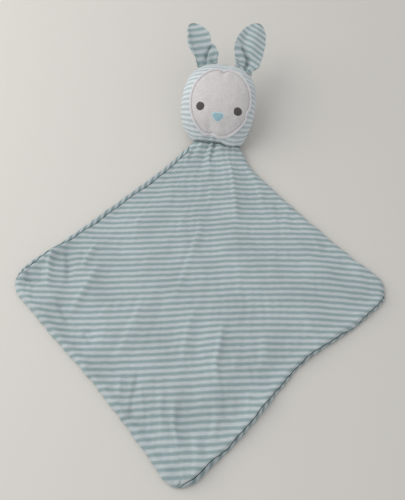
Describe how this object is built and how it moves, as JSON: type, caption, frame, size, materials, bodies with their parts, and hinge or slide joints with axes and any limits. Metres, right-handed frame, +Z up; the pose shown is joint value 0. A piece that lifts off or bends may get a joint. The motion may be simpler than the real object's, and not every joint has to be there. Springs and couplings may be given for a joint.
{
  "type": "comfort blanket",
  "caption": "Baby's comfort blanket: a stuffed bunny head with two soft ears, sewn to the gathered corner of a square two-layer striped jersey blanket, lying face up.",
  "frame": {"origin": "on the surface that the toy lies on, under the middle of the whole toy's box", "axes": "+Z up from the surface, +Y from the blanket's free corner towards the ears, +X to the right of someone who looks down at the face with the ears away from them"},
  "size_m": [0.361, 0.478, 0.0589],
  "materials": {
    "striped_jersey": "matt cotton jersey, aqua-grey and white stripes of 3 mm each",
    "pale_jersey": "matt cotton jersey, gathered and sewn through",
    "white_velour": "soft short-pile white velour",
    "white_thread": "satin sewing thread",
    "dark_thread": "satin embroidery thread, dark brown-grey",
    "blue_thread": "satin embroidery thread, pale blue",
    "stuffing": "white polyester fibre"
  },
  "bodies": {
    "blanket": {"blanket_front_panel": "striped_jersey", "blanket_back_panel": "striped_jersey", "neck_stitching": "pale_jersey"},
    "head": {"head_front_cover": "striped_jersey", "head_back_cover": "striped_jersey", "head_filling": "stuffing", "face_patch": "white_velour", "face_patch_stitching": "white_thread", "left_eye": "dark_thread", "right_eye": "dark_thread", "nose": "blue_thread", "left_ear_stitching": "pale_jersey", "right_ear_stitching": "pale_jersey"},
    "left_ear": {"left_ear_front": "striped_jersey", "left_ear_back": "striped_jersey"},
    "right_ear": {"right_ear_front": "striped_jersey", "right_ear_back": "striped_jersey"}
  },
  "joints": [
    {"name": "head_nod", "type": "hinge", "parent": "blanket", "child": "head", "pos_m": [0.01836, 0.10622, 0.012], "axis": [0.9877, -0.1564, 0], "range_deg": [0, 105]},
    {"name": "left_ear_fold", "type": "hinge", "parent": "head", "child": "left_ear", "pos_m": [0.00844, 0.18954, 0.04524], "axis": [0.9813, 0.1375, 0.1349], "range_deg": [-55, 100]},
    {"name": "right_ear_fold", "type": "hinge", "parent": "head", "child": "right_ear", "pos_m": [0.04865, 0.182, 0.0447], "axis": [0.8424, -0.5102, -0.1735], "range_deg": [-55, 100]}
  ]
}
